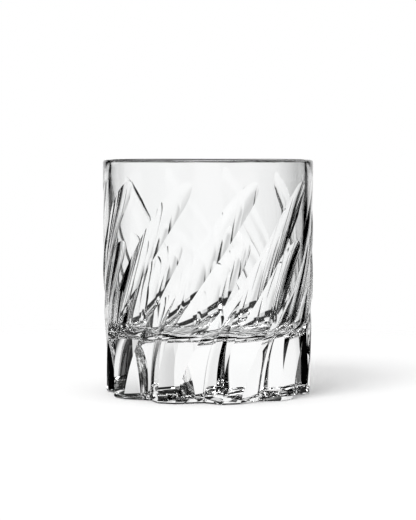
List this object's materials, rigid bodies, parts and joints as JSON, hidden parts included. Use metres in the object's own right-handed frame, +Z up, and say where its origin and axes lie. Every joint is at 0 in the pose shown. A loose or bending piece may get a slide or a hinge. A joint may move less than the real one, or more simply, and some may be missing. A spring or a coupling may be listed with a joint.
{
  "type": "whisky glass",
  "caption": "Straight-sided cut crystal tumbler with a heavy solid foot that has a star cut in its underside, curved wheel cuts that lean as they rise, and a plain rounded lip.",
  "frame": {"origin": "centre of the foot's flat face, on the table", "axes": "+Z up through the mouth along the glass's axis; the picture's view is along +Y with +X to the right"},
  "size_m": [0.082, 0.082, 0.091],
  "materials": {
    "crystal": "polished clear crystal"
  },
  "bodies": {
    "root": {"sham_base": "crystal", "cut_wall": "crystal", "lip_band": "crystal"}
  },
  "joints": []
}
